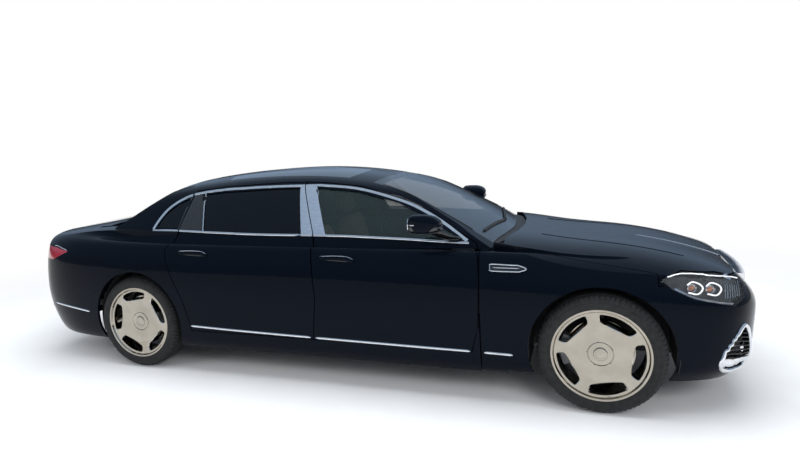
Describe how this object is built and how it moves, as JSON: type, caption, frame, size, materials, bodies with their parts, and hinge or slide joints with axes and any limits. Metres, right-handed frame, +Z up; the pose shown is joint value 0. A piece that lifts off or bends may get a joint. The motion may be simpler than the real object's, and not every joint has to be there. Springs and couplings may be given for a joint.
{
  "type": "long-wheelbase luxury sedan",
  "caption": "Long black luxury saloon with opening doors, hood and boot lid, steered front wheels and wheels that roll.",
  "frame": {"origin": "on the ground under the middle of the car's length and width", "axes": "+X forwards, +Y to the car's left, +Z up"},
  "size_m": [5.4672, 2.109, 1.5101],
  "materials": {
    "tyre_rubber": "matt black rubber",
    "wheel_alloy": "polished, warm nickel tone",
    "clear_glass": "clear, faint green",
    "tinted_glass": "dark tint",
    "red_lamp": "red lens",
    "bright_trim": "bright plating",
    "lamp_housing": "dark gloss",
    "seat_leather": "soft, pale",
    "dark_trim": "fine grain",
    "engine_alloy": "cast",
    "chassis_steel": "coated",
    "floor_paint": "primer",
    "body_paint": "deep gloss, near black blue"
  },
  "bodies": {
    "car_body": {"body_side_left": "body_paint", "body_side_right": "body_paint", "console": "dark_trim", "cowl": "dark_trim", "dashboard": "dark_trim", "engine": "engine_alloy", "exhaust": "chassis_steel", "fender_left": "body_paint", "fender_right": "body_paint", "firewall": "dark_trim", "floor_pan": "floor_paint", "front_axle": "chassis_steel", "front_bumper": "body_paint", "front_seats": "seat_leather", "grille": "bright_trim", "headlamp_housings": "lamp_housing", "headlamp_lenses": "clear_glass", "inner_wings": "body_paint", "quarter_windows": "tinted_glass", "rear_axle": "chassis_steel", "rear_bulkhead": "dark_trim", "rear_bumper": "body_paint", "rear_seat": "seat_leather", "rear_window": "tinted_glass", "roof": "body_paint", "roof_glass": "tinted_glass", "tail_lamps": "red_lamp", "underfloor": "dark_trim", "wheel_liners": "dark_trim", "windshield": "clear_glass", "wipers": "dark_trim"},
    "door_front_left": {"door_front_left": "body_paint", "window_front_left": "tinted_glass", "mirror_left": "body_paint"},
    "door_front_right": {"door_front_right": "body_paint", "window_front_right": "tinted_glass", "mirror_right": "body_paint"},
    "door_rear_left": {"door_rear_left": "body_paint", "window_rear_left": "tinted_glass"},
    "door_rear_right": {"door_rear_right": "body_paint", "window_rear_right": "tinted_glass"},
    "hood": {"hood": "body_paint"},
    "trunk_lid": {"trunk_lid": "body_paint", "lid_lamps": "red_lamp"},
    "knuckle_left": {"knuckle_left": "chassis_steel"},
    "knuckle_right": {"knuckle_right": "chassis_steel"},
    "steering_wheel": {"steering_wheel": "dark_trim"},
    "wheel_front_left": {"wheel_front_left": "wheel_alloy", "tyre_front_left": "tyre_rubber"},
    "wheel_front_right": {"wheel_front_right": "wheel_alloy", "tyre_front_right": "tyre_rubber"},
    "wheel_rear_left": {"wheel_rear_left": "wheel_alloy", "tyre_rear_left": "tyre_rubber"},
    "wheel_rear_right": {"wheel_rear_right": "wheel_alloy", "tyre_rear_right": "tyre_rubber"}
  },
  "joints": [
    {"name": "door_front_left_hinge", "type": "hinge", "parent": "car_body", "child": "door_front_left", "pos_m": [1.153, 0.962, 0.8], "axis": [0, 0, -1], "range_deg": [0, 68]},
    {"name": "door_rear_left_hinge", "type": "hinge", "parent": "car_body", "child": "door_rear_left", "pos_m": [0.022, 0.963, 0.8], "axis": [0, 0, -1], "range_deg": [0, 68]},
    {"name": "steer_left", "type": "hinge", "parent": "car_body", "child": "knuckle_left", "pos_m": [1.8535, 0.769, 0.3685], "axis": [0, 0, 1], "range_deg": [-35, 35]},
    {"name": "wheel_front_left_spin", "type": "hinge", "parent": "knuckle_left", "child": "wheel_front_left", "pos_m": [1.8535, 0.82, 0.3685], "axis": [0, 1, 0], "continuous": true},
    {"name": "wheel_rear_left_spin", "type": "hinge", "parent": "car_body", "child": "wheel_rear_left", "pos_m": [-1.5425, 0.82, 0.3685], "axis": [0, 1, 0], "continuous": true},
    {"name": "door_front_right_hinge", "type": "hinge", "parent": "car_body", "child": "door_front_right", "pos_m": [1.153, -0.962, 0.8], "axis": [0, 0, 1], "range_deg": [0, 68]},
    {"name": "door_rear_right_hinge", "type": "hinge", "parent": "car_body", "child": "door_rear_right", "pos_m": [0.022, -0.963, 0.8], "axis": [0, 0, 1], "range_deg": [0, 68]},
    {"name": "steer_right", "type": "hinge", "parent": "car_body", "child": "knuckle_right", "pos_m": [1.8535, -0.769, 0.3685], "axis": [0, 0, 1], "range_deg": [-35, 35]},
    {"name": "wheel_front_right_spin", "type": "hinge", "parent": "knuckle_right", "child": "wheel_front_right", "pos_m": [1.8535, -0.82, 0.3685], "axis": [0, 1, 0], "continuous": true},
    {"name": "wheel_rear_right_spin", "type": "hinge", "parent": "car_body", "child": "wheel_rear_right", "pos_m": [-1.5425, -0.82, 0.3685], "axis": [0, 1, 0], "continuous": true},
    {"name": "hood_hinge", "type": "hinge", "parent": "car_body", "child": "hood", "pos_m": [1.212, 0, 1.03], "axis": [0, -1, 0], "range_deg": [0, 55]},
    {"name": "trunk_hinge", "type": "hinge", "parent": "car_body", "child": "trunk_lid", "pos_m": [-2.006, 0, 1.118], "axis": [0, 1, 0], "range_deg": [0, 80]},
    {"name": "steering_wheel_turn", "type": "hinge", "parent": "car_body", "child": "steering_wheel", "pos_m": [0.56, 0.38, 0.83], "axis": [0.9135, 0, -0.4067], "range_deg": [-490, 490]}
  ],
  "couplings": [
    {"joint": "steer_right", "follows": "steer_left", "ratio": 1},
    {"joint": "steering_wheel_turn", "follows": "steer_left", "ratio": -14}
  ]
}
